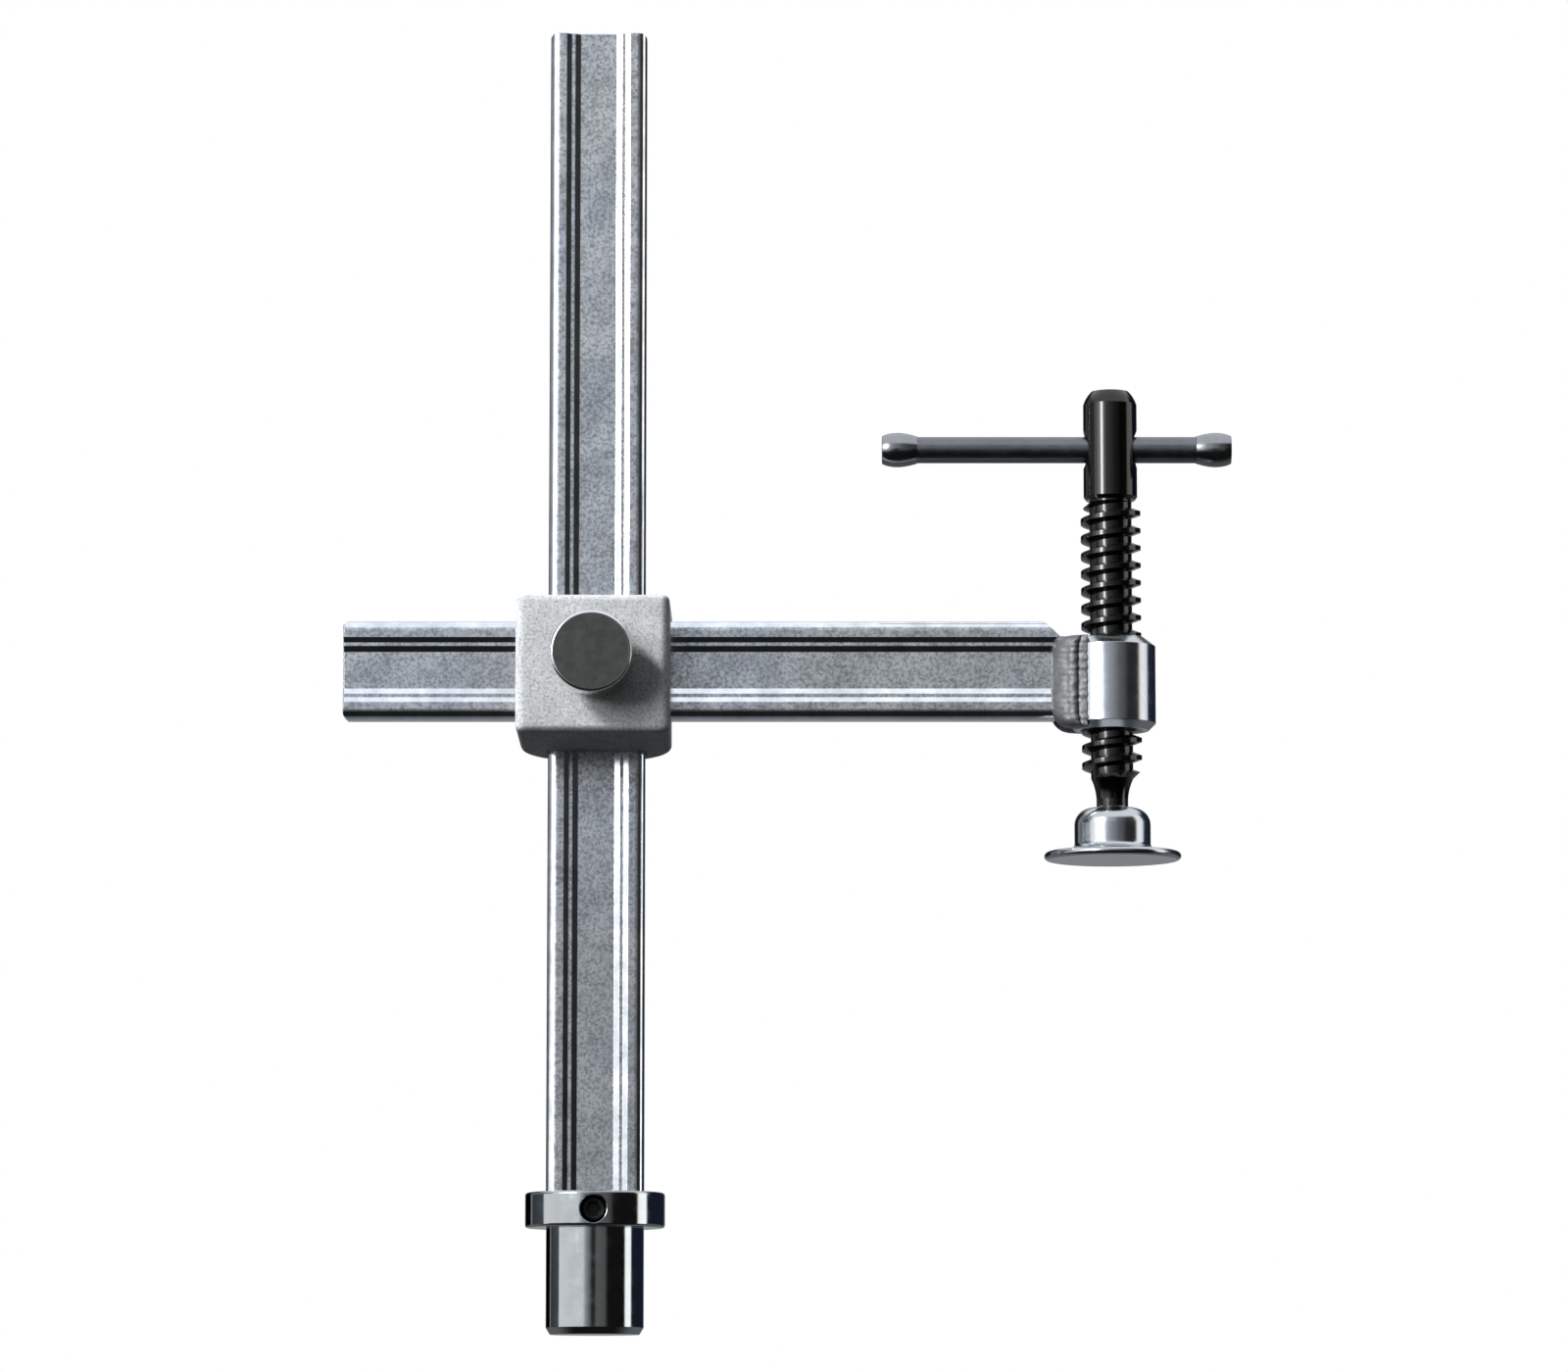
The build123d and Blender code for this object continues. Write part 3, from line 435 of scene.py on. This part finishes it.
def lock_knob():
    """Turned steel knob: dark satin face, bright polished rim."""
    material, n = new_material("knob_steel")
    low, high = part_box("lock_screw")
    centre = (low + high) / 2
    place = n.add("ShaderNodeTexCoord").outputs["Object"]
    offset = n.vector("MULTIPLY", n.vector("SUBTRACT", place, tuple(centre)), (1, 0, 1))
    radius = n.vector("LENGTH", offset)
    face_radius = (high.x - low.x) / 2 - KNOB_RIM
    rim = n.remap(radius, face_radius - 0.05 * MM, face_radius + 0.1 * MM)
    rings = n.math("SINE", n.math("MULTIPLY", radius, 2 * math.pi / KNOB_RING_PITCH))
    smudge = n.noise(0.35, 3.0, 0.6)
    face = n.ramp(smudge, [(0.35, (0.125, 0.128, 0.118)), (0.65, (0.165, 0.168, 0.158))])
    base = n.mix(rim, face, (0.80, 0.80, 0.79))
    roughness = n.remap(rim, 0.0, 1.0, 0.32, 0.10)
    normal = bump(n, rings, 0.002 * MM, n.remap(rim, 0.0, 1.0, 0.6, 0.0))
    principled(n, base, 1.0, roughness, normal)
    return material


def turned_metal(name, tint, roughness, axis_stretch, wear=0.0, coat=0.0):
    """Turned metal: fine rings round the axis, faint wear and smudges."""
    material, n = new_material(name)
    rounded, edge = soft_edge(n, 0.3 * MM)
    rings = n.noise(1.5, 4.0, 0.6, stretch=axis_stretch)
    smudge = n.noise(0.25, 3.0, 0.6)
    shade = n.ramp(smudge, [(0.35, scaled(tint, SMUDGE_DARKENING)), (0.65, tint)])
    base = n.mix(n.math("MULTIPLY", edge, wear), shade, (0.80, 0.81, 0.83))
    rough = n.math("ADD", n.remap(smudge, 0.35, 0.7, 0.0, 0.06), roughness)
    normal = bump(n, rings, 0.006 * MM, 0.5, rounded)
    principled(n, base, 1.0, rough, normal, Coat_Weight=coat, Coat_Roughness=0.06)
    return material


def weld_metal():
    """Matte zinc over the weld, dull and slightly rough."""
    material, n = new_material("zinc_weld")
    grain = n.noise(1.4, 3.0, 0.6)
    blotch = n.noise(0.3, 3.0, 0.6)
    tint = n.ramp(blotch, [(0.35, (0.17, 0.173, 0.180)), (0.65, (0.23, 0.233, 0.240))])
    base = n.mix(1.0, tint, n.ramp(grain, [(0.35, 0.75), (0.6, 1.0)]), "MULTIPLY")
    normal = bump(n, grain, 0.03 * MM, 0.5)
    principled(n, base, 0.8, n.remap(grain, 0.3, 0.7, 0.52, 0.42), normal)
    return material


# noise stretched into rings round the axis on which a piece was turned
AROUND_Z = (0.15, 0.15, 6.0)
AROUND_X = (6.0, 0.15, 0.15)
AROUND_Y = (0.15, 6.0, 0.15)

MATERIALS = {
    "zinc_rail": zinc_rail(),
    "blasted_casting": blasted_casting(),
    "polished_steel": turned_metal("polished_steel", (0.50, 0.52, 0.53), 0.045, AROUND_Z),
    "bright_zinc": turned_metal("bright_zinc", (0.58, 0.60, 0.62), 0.14, AROUND_Z),
    "zinc_weld": weld_metal(),
    "black_oxide": turned_metal("black_oxide", (0.012, 0.010, 0.009), 0.24, AROUND_Z, coat=1.0),
    "bar_steel": turned_metal("bar_steel", (0.20, 0.21, 0.22), 0.28, AROUND_X),
    "bar_end_steel": turned_metal("bar_end_steel", (0.34, 0.35, 0.36), 0.16, AROUND_X, 0.1),
    "knob_steel": lock_knob(),
    "dark_steel": turned_metal("dark_steel", (0.04, 0.04, 0.04), 0.35, AROUND_Y),
    "hardened_steel": turned_metal("hardened_steel", (0.52, 0.53, 0.55), 0.2, AROUND_Z),
    "brass": turned_metal("brass", (0.78, 0.60, 0.30), 0.2, AROUND_Z),
}


# ---- weld beads -----------------------------------------------------------------------

WELD_ROWS = 104  # along the bead
WELD_COLUMNS = 36  # from the arm's toe to the nut's toe
WELD_CORNER = 5.5 * MM  # rounding of the bead's outline on the arm's side
WELD_END = 2.2 * MM  # rounding of its top and bottom
WELD_LOBE = 1.75 * MM  # height of the main lobe
WELD_LOBE_SPAN = 0.74  # share of the width that the lobe takes
WELD_FOOT = 0.6 * MM  # height of the thin foot on the nut
WELD_FOOT_FROM = 0.42
WELD_RIPPLE = 1.6 * MM  # spacing of the ripples along the bead
WELD_RIPPLE_HEIGHT = 0.022 * MM
WELD_RIPPLE_BOW = 0.45 * WELD_RIPPLE
WELD_LUMP = 2.2 * MM  # size of the lumps
WELD_LUMP_HEIGHT = 0.14 * MM
WELD_WANDER = 0.35 * MM  # unevenness of the toe on the nut
WELD_WANDER_LENGTH = 1.3 * MM
WELD_TOE_INSET = 0.3 * MM
WELD_BACK = 3.0 * MM  # from the arm's middle plane to the bead's hidden back
WELD_LOW, WELD_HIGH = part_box("nut_welds")
ARM_LOW, ARM_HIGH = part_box("arm_rail")
NUT_LOW, NUT_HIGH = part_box("spindle_nut")
NUT_CENTRE = (NUT_LOW + NUT_HIGH) / 2
NUT_RADIUS = (NUT_HIGH.x - NUT_LOW.x) / 2


def weld_surface(side, column, row):
    """Point on the outside of a bead; side is -1 in front of the arm, 1 behind it."""
    across = column / (WELD_COLUMNS - 1)
    z = WELD_LOW.z + (WELD_HIGH.z - WELD_LOW.z) * row / (WELD_ROWS - 1)

    # outline: rounded corners towards the arm, an uneven toe on the nut
    from_end = min(z - WELD_LOW.z, WELD_HIGH.z - z)
    corner = max(WELD_CORNER - from_end, 0.0)
    left = WELD_LOW.x + WELD_CORNER - math.sqrt(WELD_CORNER**2 - corner**2)
    wander = noise.noise(Vector((3.0 + 5 * side, 0.0, z / WELD_WANDER_LENGTH)))
    toe = WELD_HIGH.x - WELD_TOE_INSET + WELD_WANDER * wander
    x = left + (toe - left) * across

    # the surface that the bead lies on, as a straight line from the arm's face to the nut
    flange_y = ARM_HIGH.y if side > 0 else ARM_LOW.y
    start_y = abs(flange_y - NUT_CENTRE.y) - 0.1 * MM
    toe_y = math.sqrt((NUT_RADIUS + 0.05 * MM) ** 2 - (NUT_CENTRE.x - toe) ** 2)
    base_y = start_y + (toe_y - start_y) * (x - WELD_LOW.x) / (toe - WELD_LOW.x)

    # the bead's height over that line
    lobe = math.sin(math.pi * min(across / WELD_LOBE_SPAN, 1.0)) ** 0.62
    foot = math.sin(math.pi * max((across - WELD_FOOT_FROM) / (1 - WELD_FOOT_FROM), 0.0))
    end = math.sqrt(max(1.0 - max(1.0 - from_end / WELD_END, 0.0) ** 2, 0.0))
    bow = WELD_RIPPLE_BOW * math.sin(math.pi * across)
    ripple = math.sin(2 * math.pi * (z + bow) / WELD_RIPPLE)
    lump = noise.noise(Vector((x / WELD_LUMP, side * 7.0, z / WELD_LUMP)))
    height = WELD_LOBE * lobe + WELD_FOOT * foot
    height += (WELD_RIPPLE_HEIGHT * ripple + WELD_LUMP_HEIGHT * lump) * math.sin(math.pi * across)
    return Vector((x, NUT_CENTRE.y + side * (base_y + height * end), z))


def build_weld(name, side):
    """One bead as a closed mesh: the outside surface, and a flat back hidden in arm and nut.

    At the nut's toe the hidden back reaches about a millimetre into the nut's thread, and
    overlaps the spindle's crests there.
    """
    back_y = (ARM_LOW.y + ARM_HIGH.y) / 2 + side * WELD_BACK
    mesh = bmesh.new()
    outside = []
    inside = []
    for row in range(WELD_ROWS):
        points = [weld_surface(side, column, row) for column in range(WELD_COLUMNS)]
        outside.append([mesh.verts.new(point) for point in points])
        inside.append([mesh.verts.new((point.x, back_y, point.z)) for point in points])
    for grid in (outside, inside):
        for first, second in zip(grid, grid[1:]):
            for i in range(WELD_COLUMNS - 1):
                mesh.faces.new((first[i], first[i + 1], second[i + 1], second[i]))
    for row in (0, WELD_ROWS - 1):
        for i in range(WELD_COLUMNS - 1):
            rim = (outside[row][i], outside[row][i + 1], inside[row][i + 1], inside[row][i])
            mesh.faces.new(rim)
    for i in (0, WELD_COLUMNS - 1):
        for row in range(WELD_ROWS - 1):
            rim = (outside[row][i], outside[row + 1][i], inside[row + 1][i], inside[row][i])
            mesh.faces.new(rim)
    bmesh.ops.recalc_face_normals(mesh, faces=mesh.faces)
    for face in mesh.faces:
        face.smooth = True
    data = bpy.data.meshes.new(name)
    mesh.to_mesh(data)
    mesh.free()
    data.materials.append(MATERIALS["zinc_weld"])
    weld = bpy.data.objects.new(name, data)
    bpy.context.scene.collection.objects.link(weld)
    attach(weld, "arm")
    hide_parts("nut_welds")


def paint_nodes():
    for part in frame["record"]["subparts"]:
        node = frame["nodes"][part["node"]]
        node.data.materials.clear()
        node.data.materials.append(MATERIALS[part["material_slot"]])


build_world()
build_lights()
build_floor()
build_camera()
paint_nodes()
build_weld("weld_front", -1)
build_weld("weld_back", 1)
bpy.context.scene.view_settings.view_transform = "Standard"
